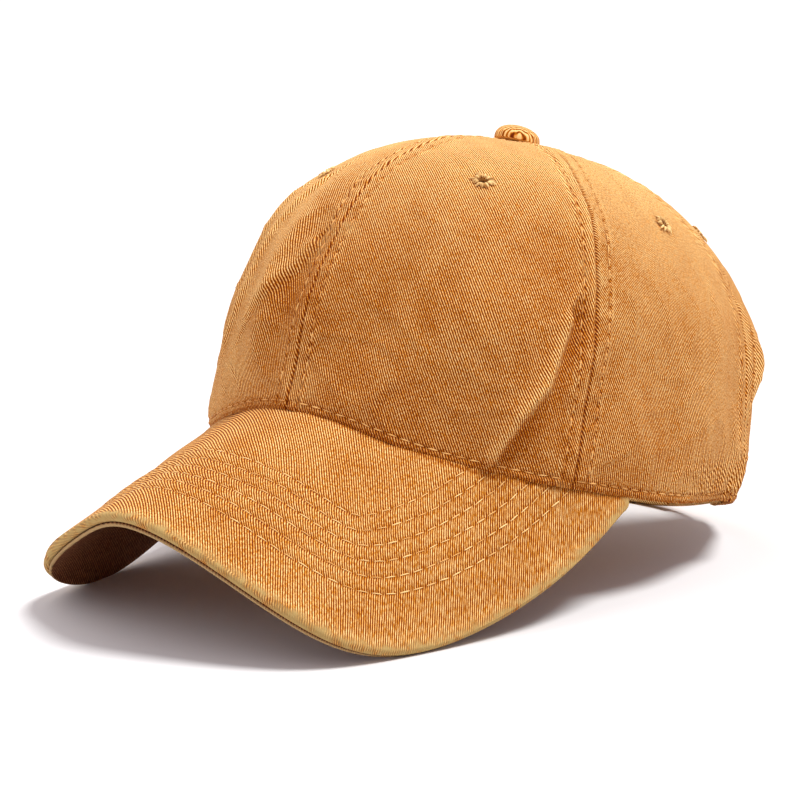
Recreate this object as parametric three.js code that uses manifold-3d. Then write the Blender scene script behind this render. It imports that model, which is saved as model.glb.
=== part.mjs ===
import * as THREE from "three";
import { mergeVertices } from "three/addons/utils/BufferGeometryUtils.js";
import Module from "manifold-3d";

// A washed cotton baseball cap: six crown panels under a covered button, a curved peak, and a tall
// arched opening at the back for a ponytail, closed below by two lapped straps.
// Millimetres, +Z up. The peak points to -Y and the wearer's left is +X. The cap stands on its rear
// rim and on the two lowest places of its peak.
// Turns are in degrees round the button's upright line, from the front towards the wearer's left.

// Crown, measured from the button's line and from the widest level
const crownFront = 94.4;
const crownSide = 85.7;
const crownBack = 111.8;
const crownHeight = 91.3;
const skirtHeight = 101; // the wall below the widest level follows an ellipse of this half height
const lengthwiseRoundness = 2.32; // 2 is an ellipse, more is squarer
const sidewaysRoundness = 2.36;
const cloth = 1.6;
const gap = 0.3;

// Peak
const peakReach = 63.3; // how far it stands out in front of the crown
const peakDrop = 52.6; // from its ends on the rim to its lowest edge
const peakTurn = 77.3; // it meets the rim this far to either side of the front
const peakTopThickness = 2.6;
const peakUnderThickness = 1.2;
const layerGap = 0.45;
const peakTip = 0.985; // share of the way to its ends, where it is cut off blunt

// Button and eyelets
const buttonRadius = 8;
const buttonHeight = 6.2;
const shankRadius = 1.9;
const rivetRadius = 5;
const rivetThickness = 0.9;
const eyeletAngle = 43.4; // from straight up, seen from the middle of the widest level
const eyeletHoleRadius = 1.25;
const eyeletBarrelWall = 0.6;
const eyeletFlangeRadius = 4.1;
const eyeletFlangeThickness = 0.6;

// Sweatband
const bandHeight = 32;
const bandThickness = 1.2;
const bandLean = 3.6; // its upper edge hangs this much further in than its sewn edge
const bandEndTurn = 144;

// Opening, its binding and the closure straps
const openingHalfWidth = 42;
const openingBehindButton = 47; // from the button's line to the top of the arch
const archFootHeight = 48; // over the widest level, where the arch turns into straight sides
const bindingWidth = 8;
const bindingProud = 0.4; // it stands this far out of the panels' faces
const strapHeight = 22;
const strapThickness = 1.6;
const strapEndTurn = 148; // where each strap is sewn inside the binding
const strapLap = 12; // degrees that the outer strap runs past the middle

// Where the cap stands, this much of its soft edge is pressed flat
const pressedFlat = 0.5;

// Folds
const foldDepth = 3.5;
const foldWidth = 11;
const foldLength = 30;

// Height of the rim, as shares of the crown's height, every 30 degrees from the front to the back
const rimRows = [
  { drop: 0.052 },
  { drop: 0.222 },
  { drop: 0.223 },
  { drop: 0.232 },
  { drop: 0.178 },
  { drop: 0.189 },
  { drop: 0.316 },
];

// The peak's edge from the middle to one end. Across is a share of the half width between its ends
// on the rim, forward a share of its length from its ends to its front, and drop a share of its drop.
const peakRows = [
  { across: 0, forward: 1.025, drop: 0.462 },
  { across: 0.319, forward: 0.95, drop: 0.633 },
  { across: 0.748, forward: 0.846, drop: 0.975 },
  { across: 0.842, forward: 0.591, drop: 1.113 },
  { across: 1.009, forward: 0.236, drop: 0.571 },
  { across: 1, forward: 0, drop: 0 },
];

// Soft folds and dents of the washed cloth. Turn places each one round the crown, fall is its share
// of the way from the button to the rim, and lean tips its long axis from upright, in degrees. Rise,
// across and along are shares of the fold's depth, width and length, and rise below 0 is a dent.
const folds = [
  { turn: 51, fall: 0.85, lean: 36, rise: 0.95, across: 0.6, along: 1 },
  { turn: 57, fall: 0.92, lean: 20, rise: -0.8, across: 0.8, along: 0.6 },
  { turn: 34, fall: 0.74, lean: 18, rise: 0.6, across: 1.3, along: 0.9 },
  { turn: 17, fall: 0.8, lean: 14, rise: -0.8, across: 1.1, along: 1 },
  { turn: 25, fall: 0.95, lean: 50, rise: 0.4, across: 0.8, along: 0.8 },
  { turn: 2, fall: 0.95, lean: 12, rise: -0.8, across: 0.8, along: 0.5 },
  { turn: -6, fall: 0.82, lean: 4, rise: -0.8, across: 0.7, along: 1 },
  { turn: -13, fall: 0.76, lean: 0, rise: 0.7, across: 0.6, along: 1.2 },
  { turn: -38, fall: 0.84, lean: -20, rise: -0.7, across: 1, along: 0.9 },
  { turn: -60, fall: 0.8, lean: -30, rise: 0.6, across: 0.8, along: 0.9 },
  { turn: -98, fall: 0.78, lean: 12, rise: -0.7, across: 1.2, along: 0.9 },
  { turn: -128, fall: 0.7, lean: -8, rise: 1, across: 0.9, along: 0.8 },
  { turn: 84, fall: 0.88, lean: -24, rise: -0.5, across: 1.2, along: 0.8 },
  { turn: 104, fall: 0.72, lean: 6, rise: 0.4, across: 1.2, along: 1 },
  { turn: 128, fall: 0.69, lean: 6, rise: 1.3, across: 0.8, along: 0.7 },
  { turn: 126, fall: 0.82, lean: 40, rise: -0.7, across: 0.6, along: 0.4 },
];

// Facets
const panelColumns = 12;
const panelRows = 15;
const peakColumns = 36;
const peakSteps = 6;
const bandColumns = 40;
const bindingSteps = 44;
const strapColumns = 12;
const ringSides = 12;
const buttonSides = 24;

const colours = {
  cloth: 0xc98a35,
  faded: 0xd9a050,
  under: 0x8a5a22,
  thread: 0xd8a044,
};

const radians = THREE.MathUtils.degToRad;
const wasm = await Module();
wasm.setup();

// A smooth curve that runs near the values of a table's column, read at a share of its rows. It
// starts as its own mirror image, even or odd, and ends as a mirror image or straight.
function along(rows, column, share, startMirror, endMirror) {
  const last = rows.length - 1;
  const value = (row) => {
    if (row < 0) return startMirror * rows[-row][column];
    if (row <= last) return rows[row][column];
    const before = rows[2 * last - row][column];
    return endMirror ? before : 2 * rows[last][column] - before;
  };
  const place = THREE.MathUtils.clamp(share, 0, 1) * last;
  const row = Math.min(Math.floor(place), last - 1);
  const t = place - row;
  const weights = [
    (1 - t) ** 3,
    3 * t ** 3 - 6 * t ** 2 + 4,
    -3 * t ** 3 + 3 * t ** 2 + 3 * t + 1,
    t ** 3,
  ];
  return weights.reduce((sum, weight, i) => sum + (weight * value(row - 1 + i)) / 6, 0);
}

// Crown

// Radius of the widest level at a turn in radians.
function widestRadius(turn) {
  const lengthwise = Math.cos(turn) > 0 ? crownFront : crownBack;
  return 1 / Math.hypot(Math.sin(turn) / crownSide, Math.cos(turn) / lengthwise);
}

// Distance from the middle of the widest level to the crown, at an angle from straight up.
function reach(turn, angle) {
  const radius = widestRadius(turn);
  const side = Math.sin(angle);
  const up = Math.abs(Math.cos(angle));
  if (angle > Math.PI / 2) return 1 / Math.hypot(side / radius, up / skirtHeight);
  const roundness = THREE.MathUtils.lerp(
    lengthwiseRoundness,
    sidewaysRoundness,
    Math.sin(turn) ** 2,
  );
  const sum = (side / radius) ** roundness + (up / crownHeight) ** roundness;
  return sum ** (-1 / roundness);
}

// The meridian at a turn: how far out and how high the crown is at an angle from straight up.
function meridian(turn, angle) {
  const distance = reach(turn, angle);
  return new THREE.Vector2(distance * Math.sin(angle), distance * Math.cos(angle));
}

function rimHeight(turn) {
  const share = Math.abs(Math.atan2(Math.sin(turn), Math.cos(turn))) / Math.PI;
  return -crownHeight * along(rimRows, "drop", share, 1, true);
}

// Angle from straight up at which the meridian meets the rim.
function rimAngle(turn) {
  const below = -rimHeight(turn);
  const out = widestRadius(turn) * Math.sqrt(1 - (below / skirtHeight) ** 2);
  return Math.PI / 2 + Math.atan2(below, out);
}

// How far the folds push the cloth out at a turn and a share of the way down to the rim.
function foldRise(turn, fall) {
  const round = widestRadius(turn);
  return folds.reduce((sum, fold) => {
    const off = turn - radians(fold.turn);
    const sideways = Math.atan2(Math.sin(off), Math.cos(off)) * round;
    const down = (fall - fold.fall) * rimAngle(turn) * round;
    const lean = radians(fold.lean);
    const a = (sideways * Math.cos(lean) + down * Math.sin(lean)) / (fold.across * foldWidth);
    const b = (down * Math.cos(lean) - sideways * Math.sin(lean)) / (fold.along * foldLength);
    return sum + fold.rise * foldDepth * Math.exp(-a * a - b * b);
  }, 0);
}

// A point of the crown's cloth, so far under its outer face. The cloth is offset in the upright
// plane of its turn, so that panels cut at one turn stay apart all through.
function crownPoint(turn, fall, depth, folded = true) {
  const angle = fall * rimAngle(turn);
  const here = meridian(turn, angle);
  const step = 0.01;
  const tangent = meridian(turn, angle + step).sub(meridian(turn, angle - step)).normalize();
  const out = (folded ? foldRise(turn, fall) * seamHold(fall) : 0) - depth;
  const radius = here.x - tangent.y * out;
  const height = here.y + tangent.x * out;
  return new THREE.Vector3(radius * Math.sin(turn), -radius * Math.cos(turn), height);
}

// The rim's tape and the button hold the cloth, so folds fade out there.
function seamHold(fall) {
  const underButton = THREE.MathUtils.smoothstep(fall, 0.1, 0.35);
  return underButton * (1 - THREE.MathUtils.smoothstep(fall, 0.8, 1));
}

// Share of the way down the meridian that lies this far over the rim.
function fallOverRim(turn, height) {
  const out = meridian(turn, rimAngle(turn)).x;
  return 1 - height / out / rimAngle(turn);
}

// Share of the way down the meridian at which the crown is this far from the button's line.
function fallAtRadius(turn, radius) {
  const roundness = THREE.MathUtils.lerp(
    lengthwiseRoundness,
    sidewaysRoundness,
    Math.sin(turn) ** 2,
  );
  const height = crownHeight * (1 - (radius / widestRadius(turn)) ** roundness) ** (1 / roundness);
  return Math.atan2(radius, height) / rimAngle(turn);
}

// Solids

function closed(geometry) {
  geometry.deleteAttribute("normal");
  geometry.deleteAttribute("uv");
  const merged = mergeVertices(geometry, 1e-4);
  merged.computeVertexNormals();
  return merged;
}

// A closed wall: a box whose corners are placed by their shares along, up and out through it.
function wall(columns, rows, place) {
  const geometry = new THREE.BoxGeometry(1, 1, 1, columns, rows, 1);
  const position = geometry.attributes.position;
  for (let i = 0; i < position.count; i++) {
    const at = place(position.getX(i) + 0.5, position.getY(i) + 0.5, position.getZ(i) + 0.5);
    position.setXYZ(i, at.x, at.y, at.z);
  }
  return closed(geometry);
}

function solidOf(geometry) {
  const bare = new THREE.BufferGeometry();
  bare.setAttribute("position", geometry.attributes.position);
  bare.setIndex(geometry.index);
  const merged = mergeVertices(bare, 1e-4);
  return new wasm.Manifold(
    new wasm.Mesh({
      numProp: 3,
      vertProperties: new Float32Array(merged.attributes.position.array),
      triVerts: new Uint32Array(merged.index.array),
    }),
  );
}

function geometryOf(solid) {
  const mesh = solid.getMesh();
  const geometry = new THREE.BufferGeometry();
  geometry.setAttribute("position", new THREE.BufferAttribute(mesh.vertProperties, 3));
  geometry.setIndex(new THREE.BufferAttribute(mesh.triVerts, 1));
  geometry.computeVertexNormals();
  return geometry;
}

function cut(geometry, ...tools) {
  return geometryOf(tools.reduce((solid, tool) => solid.subtract(solidOf(tool)), solidOf(geometry)));
}

// Panels

const panelTip = shankRadius + gap; // the panels' blunt tips leave room for the button's shank

// The turn of a seam, moved off it by half the gap between two panels.
function besideSeam(seamTurn, fall, side) {
  const radius = Math.max(meridian(seamTurn, fall * rimAngle(seamTurn)).x - cloth, panelTip);
  return seamTurn + side * Math.asin(gap / 2 / radius);
}

function panel(fromTurn, toTurn) {
  const from = radians(fromTurn);
  const to = radians(toTurn);
  return wall(panelColumns, panelRows, (a, u, out) => {
    const tip = fallAtRadius((from + to) / 2, panelTip + cloth);
    const fall = THREE.MathUtils.lerp(1, tip, u);
    const turn = THREE.MathUtils.lerp(besideSeam(from, fall, 1), besideSeam(to, fall, -1), a);
    return crownPoint(turn, fall, cloth * (1 - out));
  });
}

// Opening

const archTop = fallAtRadius(Math.PI, openingBehindButton);

// The opening's edge on the wearer's left, moved into the cloth by a margin. Share 0 is the top of
// the arch, 0.5 its foot and 1 the rim. It gives the fall and the distance from the middle.
function openingEdge(share, margin) {
  const foot = Math.atan2(widestRadius(Math.PI), archFootHeight) / rimAngle(Math.PI);
  const top = archTop - margin / crownHeight / rimAngle(Math.PI);
  const angle = Math.min(share * 2, 1) * (Math.PI / 2);
  const below = Math.max(share * 2 - 1, 0);
  return {
    fall: THREE.MathUtils.lerp(foot, top, Math.cos(angle)) + (1 - foot) * below,
    across: (openingHalfWidth + margin) * Math.sin(angle),
  };
}

// Turn on the wearer's left at which the crown is so far across from the middle.
function turnAcross(across, fall) {
  let turn = Math.PI;
  for (let i = 0; i < 12; i++) {
    const radius = meridian(turn, fall * rimAngle(turn)).x;
    turn = Math.PI - Math.asin(Math.min(across / radius, 1));
  }
  return turn;
}

// A back panel runs from its side seam to the middle seam over the arch, and to the binding below.
function backPanel(side) {
  const margin = bindingWidth + gap;
  const rowsOverArch = 4;
  const seam = radians(120);
  return wall(panelColumns, panelRows + 4, (a, u, out) => {
    const row = Math.round((1 - u) * (panelRows + 4));
    const tip = fallAtRadius(radians(150), panelTip + cloth);
    const overArch = row / rowsOverArch;
    const beside = openingEdge((row - rowsOverArch) / (panelRows + 4 - rowsOverArch), margin);
    const top = openingEdge(0, margin);
    const fall = overArch < 1 ? THREE.MathUtils.lerp(tip, top.fall, overArch) : beside.fall;
    const middle = besideSeam(Math.PI, fall, -1);
    const edge = overArch < 1 ? middle : Math.min(middle, turnAcross(beside.across, fall));
    const start = besideSeam(seam, fall, 1);
    const across = side > 0 ? a : 1 - a;
    const turn = side * THREE.MathUtils.lerp(start, edge, across);
    return crownPoint(turn, fall, cloth * (1 - out));
  });
}

// The binding is one strip up one side of the opening, over its arch and down the other.
function binding() {
  return wall(bindingSteps, 2, (a, u, out) => {
    const share = Math.abs(2 * a - 1);
    const edge = openingEdge(share, bindingWidth * u);
    const side = a < 0.5 ? 1 : -1;
    const turn = side * turnAcross(edge.across, edge.fall);
    const depth = THREE.MathUtils.lerp(cloth + bindingProud, -bindingProud, out);
    return crownPoint(turn, edge.fall, depth);
  });
}

const strapDepth = cloth + bindingProud + gap;

// Straps: the left one lies outside the right one where they lap.
function strap(side) {
  const first = strapThickness + gap;
  return wall(strapColumns, 2, (a, u, out) => {
    const start = radians(strapEndTurn);
    const end = radians(180 + strapLap);
    const share = side > 0 ? a : 1 - a;
    const turn = THREE.MathUtils.lerp(start, end, share);
    const inside = side > 0 ? 0 : first * THREE.MathUtils.smoothstep(share, 0.1, 0.5);
    const fall = fallOverRim(turn, strapHeight * u);
    return crownPoint(side * turn, fall, strapDepth + inside + strapThickness * (1 - out), false);
  });
}

// Sweatband

function sweatband() {
  return wall(bandColumns, 3, (a, u, out) => {
    const turn = radians(THREE.MathUtils.lerp(-bandEndTurn, bandEndTurn, a));
    const fall = fallOverRim(turn, bandHeight * u);
    return crownPoint(turn, fall, cloth + gap + bandLean * u + bandThickness * (1 - out), false);
  });
}

// Peak

const peakDepth = peakTopThickness + layerGap + peakUnderThickness;

// Its upper face at a share across from right to left and out from the rim to the edge.
function peakPoint(across, out) {
  const side = across * 2 - 1;
  const share = Math.abs(side) * peakTip;
  const turn = side * peakTip * radians(peakTurn);
  const inner = crownPoint(turn, 1, 0);
  inner.z -= gap;
  const end = crownPoint(radians(peakTurn), 1, 0);
  const forward = along(peakRows, "forward", share, 1, false);
  const edge = new THREE.Vector3(
    Math.sign(side) * end.x * along(peakRows, "across", share, -1, false),
    THREE.MathUtils.lerp(end.y, -crownFront - peakReach, forward),
    end.z - peakDrop * along(peakRows, "drop", share, 1, false),
  );
  return inner.lerp(edge, out);
}

function peakNormal(across, out) {
  const step = 0.004;
  const a = THREE.MathUtils.clamp(across, step, 1 - step);
  const sideways = peakPoint(a + step, out).sub(peakPoint(a - step, out));
  const inwards = peakPoint(a, Math.max(out - step, 0)).sub(peakPoint(a, out + step));
  return sideways.cross(inwards).normalize();
}

// A place so far under the peak's upper face. Along the rim the layers are cut off level, so that
// they lie close under the crown and the sweatband.
function underPeak(across, out, depth) {
  const point = peakPoint(across, out);
  const normal = peakNormal(across, out);
  if (out > 0) return point.addScaledVector(normal, -depth);
  const step = 0.004;
  const a = THREE.MathUtils.clamp(across, step, 1 - step);
  const sideways = peakPoint(a + step, 0).sub(peakPoint(a - step, 0));
  const inwards = new THREE.Vector3(-sideways.y, sideways.x, 0).normalize();
  return point.addScaledVector(inwards, depth / -inwards.dot(normal));
}

// One layer of the peak, so thick and so far under its upper face.
function peakLayer(under, thickness) {
  return wall(peakColumns, peakSteps, (across, u, outwards) =>
    underPeak(across, 1 - u, under + thickness * (1 - outwards)),
  );
}

// Button and eyelets

function button() {
  const seat = gap;
  const dome = new THREE.SplineCurve([
    new THREE.Vector2(buttonRadius, seat + buttonHeight * 0.25),
    new THREE.Vector2(buttonRadius * 0.8, seat + buttonHeight * 0.78),
    new THREE.Vector2(buttonRadius * 0.4, seat + buttonHeight * 0.97),
    new THREE.Vector2(0, seat + buttonHeight),
  ]);
  const under = -cloth - 2 * gap;
  const profile = [
    new THREE.Vector2(0, under - rivetThickness),
    new THREE.Vector2(rivetRadius, under - rivetThickness),
    new THREE.Vector2(rivetRadius, under),
    new THREE.Vector2(shankRadius, under),
    new THREE.Vector2(shankRadius, seat),
    new THREE.Vector2(buttonRadius, seat),
    ...dome.getPoints(5),
  ];
  profile[profile.length - 1].x = 0;
  const geometry = new THREE.LatheGeometry(profile, buttonSides);
  geometry.rotateX(Math.PI / 2);
  geometry.translate(0, 0, crownHeight);
  return closed(geometry);
}

// The lathe's own axis is upright here, so that +Y points out of the cloth.
function eyeletRing() {
  const bore = eyeletHoleRadius;
  const barrel = bore + eyeletBarrelWall;
  const over = gap;
  const under = -cloth - 2 * gap;
  const profile = [
    new THREE.Vector2(bore, under - eyeletFlangeThickness),
    new THREE.Vector2(eyeletFlangeRadius, under - eyeletFlangeThickness),
    new THREE.Vector2(eyeletFlangeRadius, under),
    new THREE.Vector2(barrel, under),
    new THREE.Vector2(barrel, over),
    new THREE.Vector2(eyeletFlangeRadius, over),
    new THREE.Vector2(eyeletFlangeRadius, over + eyeletFlangeThickness),
    new THREE.Vector2(bore, over + eyeletFlangeThickness),
    new THREE.Vector2(bore, under - eyeletFlangeThickness),
  ];
  return closed(new THREE.LatheGeometry(profile, ringSides));
}

function eyeletHole() {
  const radius = eyeletHoleRadius + eyeletBarrelWall + gap;
  const depth = 6 * cloth;
  return closed(new THREE.CylinderGeometry(radius, radius, depth, ringSides));
}

// Turns and moves a shape onto the crown's face at an eyelet's place.
function atEyelet(geometry, turnDegrees) {
  const turn = radians(turnDegrees);
  const fall = radians(eyeletAngle) / rimAngle(turn);
  const place = crownPoint(turn, fall, 0);
  const step = 0.01;
  const round = crownPoint(turn + step, fall, 0).sub(crownPoint(turn - step, fall, 0));
  const up = crownPoint(turn, fall - step, 0).sub(crownPoint(turn, fall + step, 0));
  const normal = round.cross(up).normalize();
  const turned = new THREE.Quaternion().setFromUnitVectors(new THREE.Vector3(0, 1, 0), normal);
  geometry.applyQuaternion(turned);
  geometry.translate(place.x, place.y, place.z);
  return geometry;
}

// How the cap stands

// Tilt in radians that puts the lowest place of the peak's edge and the rear rim on one level.
function restingTilt() {
  const rear = crownPoint(Math.PI, 1, strapDepth, false);
  const edge = [];
  for (let across = 0.5; across <= 1; across += 0.005) edge.push(underPeak(across, 1, peakDepth));
  let angle = 0;
  for (let pass = 0; pass < 8; pass++) {
    const height = (point) => point.z * Math.cos(angle) - point.y * Math.sin(angle);
    const corner = edge.reduce((low, point) => (height(point) < height(low) ? point : low));
    angle = Math.atan2(rear.z - corner.z, rear.y - corner.y);
  }
  return angle;
}

const tilt = restingTilt();
const upwards = new THREE.Vector3(0, -Math.sin(tilt), Math.cos(tilt));

// A slab whose upper face is the floor, in the crown's own frame.
function floorUnder(geometries) {
  let lowest = Infinity;
  const point = new THREE.Vector3();
  for (const geometry of geometries) {
    const position = geometry.attributes.position;
    for (let i = 0; i < position.count; i++) {
      lowest = Math.min(lowest, point.fromBufferAttribute(position, i).dot(upwards));
    }
  }
  const side = 4 * (crownBack + crownFront + peakReach);
  const slab = new THREE.BoxGeometry(side, side, crownHeight);
  slab.rotateX(tilt);
  const middle = lowest + pressedFlat - crownHeight / 2;
  slab.translate(upwards.x * middle, upwards.y * middle, upwards.z * middle);
  return closed(slab);
}

// Assembly

const shapes = new Map();
const looks = new Map();

function add(name, geometry, colour, roughness = 0.9) {
  shapes.set(name, geometry);
  looks.set(name, { colour, roughness });
}

const eyelets = [
  { place: "front_left", turn: 30 },
  { place: "front_right", turn: -30 },
  { place: "side_left", turn: 90 },
  { place: "side_right", turn: -90 },
  { place: "back_left", turn: 132 },
  { place: "back_right", turn: -132 },
];

const panels = {
  front_left: panel(0, 60),
  front_right: panel(-60, 0),
  side_left: panel(60, 120),
  side_right: panel(-120, -60),
  back_left: backPanel(1),
  back_right: backPanel(-1),
};

for (const { place, turn } of eyelets) {
  const holed = cut(panels[place], atEyelet(eyeletHole(), turn));
  add(place + "_panel", holed, colours.cloth);
  add("eyelet_" + place, atEyelet(eyeletRing(), turn), colours.thread, 0.7);
}
add("top_button", button(), colours.faded);
add("peak_top", peakLayer(0, peakTopThickness), colours.cloth);
add("peak_underside", peakLayer(peakTopThickness + layerGap, peakUnderThickness), colours.under);
add("sweatband", sweatband(), colours.under);
add("opening_binding", binding(), colours.faded);
add("strap_left", strap(1), colours.cloth);
add("strap_right", strap(-1), colours.cloth);

const floor = floorUnder(shapes.values());
const cap = new THREE.Group();
for (const [name, geometry] of shapes) {
  const { colour, roughness } = looks.get(name);
  const material = new THREE.MeshStandardMaterial({ color: colour, roughness, metalness: 0 });
  const mesh = new THREE.Mesh(cut(geometry, floor), material);
  mesh.name = name;
  cap.add(mesh);
}
cap.rotation.x = -tilt;

// The origin is the middle of the bottom of the cap's box.
const part = new THREE.Group();
part.add(cap);
const box = new THREE.Box3().setFromObject(part, true);
cap.position.set(-(box.min.x + box.max.x) / 2, -(box.min.y + box.max.y) / 2, -box.min.z);

export default part;
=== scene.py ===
from math import atan2, cos, pi, radians, sin, tau

import bpy
import numpy as np
from mathutils import Euler, Matrix, Vector
from mathutils.kdtree import KDTree


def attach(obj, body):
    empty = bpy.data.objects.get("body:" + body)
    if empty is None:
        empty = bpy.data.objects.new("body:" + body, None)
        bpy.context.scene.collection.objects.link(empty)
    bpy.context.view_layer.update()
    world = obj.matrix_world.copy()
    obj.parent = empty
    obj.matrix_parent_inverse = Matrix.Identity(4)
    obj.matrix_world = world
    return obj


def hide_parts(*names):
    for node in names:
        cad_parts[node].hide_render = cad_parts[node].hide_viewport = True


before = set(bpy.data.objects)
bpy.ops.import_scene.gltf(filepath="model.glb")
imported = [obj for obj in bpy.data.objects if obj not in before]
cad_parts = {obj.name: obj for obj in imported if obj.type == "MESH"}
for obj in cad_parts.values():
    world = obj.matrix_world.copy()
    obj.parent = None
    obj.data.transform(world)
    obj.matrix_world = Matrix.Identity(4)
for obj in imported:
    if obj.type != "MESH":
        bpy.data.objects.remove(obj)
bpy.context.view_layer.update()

# Crown panels
# Six gores of washed cotton twill, sewn edge to edge from the rim to the button. Each is a flat
# grid of cloth laid over the crown's shape, with the soft folds of the worn cap, the raised seam
# allowances beside each seam and the turned hem along the rim. All sizes are in millimetres.
crown_front, crown_side, crown_back = 94.4, 85.7, 111.8
crown_height, skirt_height = 91.3, 101.0
lengthwise_roundness, sideways_roundness = 2.32, 2.36
cloth, panel_slack = 1.6, 0.1
gap = 0.3
rim_drops = [0.052, 0.222, 0.223, 0.232, 0.178, 0.189, 0.316]
lean_back = radians(13.9)
cap_place = Vector((-0.157, 29.494, 48.637))
mm = 0.001

fold_depth, fold_width, fold_length = 3.5, 11.0, 30.0
# Turn round the crown, fall as a share of the way to the rim, lean, then the rise, width and length
# as shares of a fold's. Angles are in degrees, and a rise below 0 is a dent.
folds = [
    (51, 0.85, 36, 0.95, 0.6, 1.0),
    (57, 0.92, 20, -0.8, 0.8, 0.6),
    (34, 0.74, 18, 0.6, 1.3, 0.9),
    (17, 0.8, 14, -0.8, 1.1, 1.0),
    (25, 0.95, 50, 0.4, 0.8, 0.8),
    (2, 0.95, 12, -0.8, 0.8, 0.5),
    (-6, 0.82, 4, -0.8, 0.7, 1.0),
    (-13, 0.76, 0, 0.7, 0.6, 1.2),
    (-38, 0.84, -20, -0.7, 1.0, 0.9),
    (-60, 0.8, -30, 0.6, 0.8, 0.9),
    (-98, 0.78, 12, -0.7, 1.2, 0.9),
    (-128, 0.7, -8, 1.0, 0.9, 0.8),
    (84, 0.88, -24, -0.5, 1.2, 0.8),
    (104, 0.72, 6, 0.4, 1.2, 1.0),
    (128, 0.69, 6, 1.3, 0.8, 0.7),
    (126, 0.82, 40, -0.7, 0.6, 0.4),
]


def table_curve(values, share, start_mirror=1, straight_end=False):
    """A smooth curve near evenly spaced values, at a share of the way along them."""
    rows = np.array(values, float)
    before = start_mirror * rows[1]
    after = 2 * rows[-1] - rows[-2] if straight_end else rows[-2]
    rows = np.concatenate([[before], rows, [after]])
    place = np.clip(share, 0, 1) * (len(values) - 1)
    row = np.minimum(place.astype(int), len(values) - 2)
    t = place - row
    weights = ((1 - t) ** 3, 3 * t**3 - 6 * t**2 + 4, -3 * t**3 + 3 * t**2 + 3 * t + 1, t**3)
    return sum(weight * rows[row + i] for i, weight in enumerate(weights)) / 6


def smooth_step(x, low, high):
    t = np.clip((x - low) / (high - low), 0, 1)
    return t * t * (3 - 2 * t)


def hump(distance, width):
    """1 at no distance, and smoothly down to nothing over twice the width."""
    return np.exp(-((distance / width) ** 2))


def unit(vectors):
    return vectors / np.linalg.norm(vectors, axis=-1, keepdims=True)


def widest_radius(turn):
    lengthwise = np.where(np.cos(turn) > 0, crown_front, crown_back)
    return 1 / np.hypot(np.sin(turn) / crown_side, np.cos(turn) / lengthwise)


def meridian(turn, angle):
    """How far out and how high the crown is at an angle from straight up."""
    radius = widest_radius(turn)
    side, up = np.sin(angle), np.abs(np.cos(angle))
    below = angle > pi / 2
    mix = np.sin(turn) ** 2
    roundness = np.where(below, 2.0, lengthwise_roundness * (1 - mix) + sideways_roundness * mix)
    height = np.where(below, skirt_height, crown_height)
    distance = ((side / radius) ** roundness + (up / height) ** roundness) ** (-1 / roundness)
    return distance * np.sin(angle), distance * np.cos(angle)


def rim_angle(turn):
    share = np.abs(np.arctan2(np.sin(turn), np.cos(turn))) / pi
    below = crown_height * table_curve(rim_drops, share)
    out = widest_radius(turn) * np.sqrt(1 - (below / skirt_height) ** 2)
    return pi / 2 + np.arctan2(below, out)


def fold_rise(turn, fall):
    """How far the folds push the cloth out."""
    radius = widest_radius(turn)
    rise = np.zeros_like(turn)
    for fold_turn, fold_fall, lean, high, wide, long in folds:
        off = turn - radians(fold_turn)
        sideways = np.arctan2(np.sin(off), np.cos(off)) * radius
        down = (fall - fold_fall) * rim_angle(turn) * radius
        cosine, sine = cos(radians(lean)), sin(radians(lean))
        over = (sideways * cosine + down * sine) / (wide * fold_width)
        along = (down * cosine - sideways * sine) / (long * fold_length)
        rise += high * fold_depth * np.exp(-over * over - along * along)
    return rise * smooth_step(fall, 0.1, 0.35) * (1 - smooth_step(fall, 0.8, 1))


def crown_place(turn, fall, rise=0.0):
    """Points on the crown, raised from its plain shape, in the crown's own frame."""
    angle = fall * rim_angle(turn)
    out, up = meridian(turn, angle)
    step = 0.01
    out_a, up_a = meridian(turn, angle - step)
    out_b, up_b = meridian(turn, angle + step)
    run = np.hypot(out_b - out_a, up_b - up_a)
    radius = out - (up_b - up_a) / run * rise
    height = up + (out_b - out_a) / run * rise
    return np.stack([radius * np.sin(turn), -radius * np.cos(turn), height], -1)


def soft_noise(points, size, seed):
    """Smooth random unevenness whose lumps are about so many millimetres across."""
    random = np.random.default_rng(seed)
    total = np.zeros(points.shape[:-1])
    waves = 14
    for _ in range(waves):
        direction = random.normal(size=3)
        direction *= tau / (2 * size * np.linalg.norm(direction)) * random.uniform(0.7, 1.4)
        total += np.cos(points @ direction + random.uniform(0, tau))
    return total / np.sqrt(waves / 2)


def corner_places(piece):
    places = np.empty(len(piece.data.vertices) * 3)
    piece.data.vertices.foreach_get("co", places)
    return places.reshape(-1, 3)


def flat_sheet(name, columns, rows):
    """A new flat grid of cloth, with each corner's place as shares from 0 to 1."""
    bpy.ops.object.select_all(action="DESELECT")
    bpy.ops.mesh.primitive_grid_add(x_subdivisions=columns, y_subdivisions=rows, size=1)
    sheet = bpy.context.object
    sheet.name = name + "_cloth"
    sheet.data.name = sheet.name
    flat = corner_places(sheet)
    return sheet, np.clip(flat[:, 0] + 0.5, 0, 1), np.clip(flat[:, 1] + 0.5, 0, 1)


def in_metres(points):
    """Places in the crown's own frame, in millimetres, as places in the scene."""
    turned = np.array(Matrix.Rotation(-lean_back, 3, "X"))
    return (points @ turned.T + np.array(cap_place)) * mm


def mark(mesh, name, values):
    """Stores a value from 0 to 1 for each corner of a mesh."""
    marks = mesh.attributes.new(name, "FLOAT", "POINT")
    each = np.clip(values, 0, 1) * np.ones(len(mesh.vertices))
    marks.data.foreach_set("value", each.astype(np.float32))


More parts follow.
